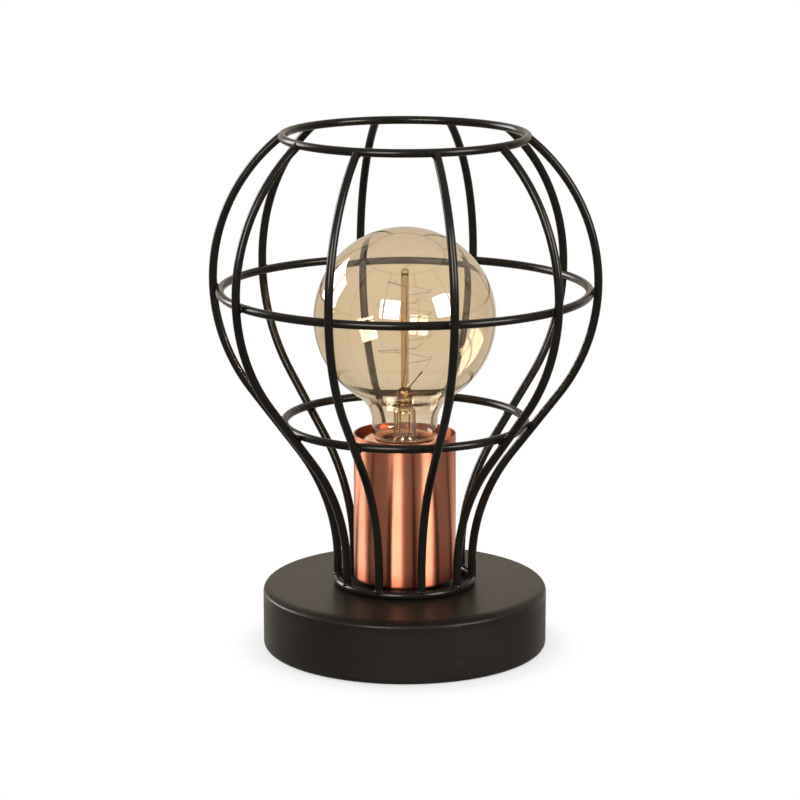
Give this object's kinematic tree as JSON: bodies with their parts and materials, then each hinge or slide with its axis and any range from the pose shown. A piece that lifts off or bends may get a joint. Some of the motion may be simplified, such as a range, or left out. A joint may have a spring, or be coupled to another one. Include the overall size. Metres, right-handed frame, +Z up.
{
  "type": "table lamp",
  "caption": "Table lamp with an open balloon-shaped wire cage on a round base, a copper socket cup and a globe bulb that screws out of its holder.",
  "frame": {"origin": "on the table, under the centre of the base", "axes": "+Z up along the lamp's axis, -Y towards the front, +X to the right seen from the front; the cord inlet is at the back, +Y"},
  "size_m": [0.2034, 0.198, 0.2732],
  "materials": {
    "black_steel": "satin black powder coat",
    "foam_pad": "black foam pad",
    "grommet_rubber": "black rubber",
    "copper": "brushed copper plate on steel",
    "zinc_steel": "zinc plated steel",
    "porcelain": "cream glazed porcelain",
    "contact_brass": "plain brass",
    "amber_glass": "amber tinted clear glass",
    "stem_glass": "clear glass",
    "cap_metal": "bright rolled metal",
    "cap_black": "black cap glass",
    "solder": "dull solder",
    "lead_metal": "oxidised wire",
    "carbon": "dark filament"
  },
  "bodies": {
    "lamp": {"base_cover": "black_steel", "base_pad": "foam_pad", "cord_grommet": "grommet_rubber", "foot_ring": "black_steel", "foot_strap": "black_steel", "lower_ring": "black_steel", "middle_ring": "black_steel", "top_ring": "black_steel", "cage_rib_01": "black_steel", "cage_rib_02": "black_steel", "cage_rib_03": "black_steel", "cage_rib_04": "black_steel", "cage_rib_05": "black_steel", "cage_rib_06": "black_steel", "cage_rib_07": "black_steel", "cage_rib_08": "black_steel", "cage_rib_09": "black_steel", "cage_rib_10": "black_steel", "socket_cup": "copper", "threaded_nipple": "zinc_steel", "nipple_nuts": "zinc_steel", "nipple_washers": "zinc_steel", "holder_bracket": "zinc_steel", "bracket_screws": "zinc_steel", "holder_body": "porcelain", "screw_shell": "contact_brass", "centre_contact": "contact_brass", "terminal_plates": "contact_brass", "terminal_screws": "contact_brass"},
    "bulb_tip": {"bulb_contact": "solder"},
    "bulb": {"bulb_glass": "amber_glass", "bulb_cap": "cap_metal", "cap_insulator": "cap_black", "bulb_stem": "stem_glass", "lead_wires": "lead_metal", "filament_supports": "lead_metal", "filament": "carbon"}
  },
  "joints": [
    {"name": "bulb_rise", "type": "slide", "parent": "lamp", "child": "bulb_tip", "axis": [0, 0, 1], "range_m": [0, 0.01815]},
    {"name": "bulb_turn", "type": "hinge", "parent": "bulb_tip", "child": "bulb", "pos_m": [0, 0, 0.09], "axis": [0, 0, 1], "range_deg": [0, 1800]}
  ],
  "couplings": [
    {"joint": "bulb_rise", "follows": "bulb_turn", "m_per_rad": 0.00057751}
  ]
}
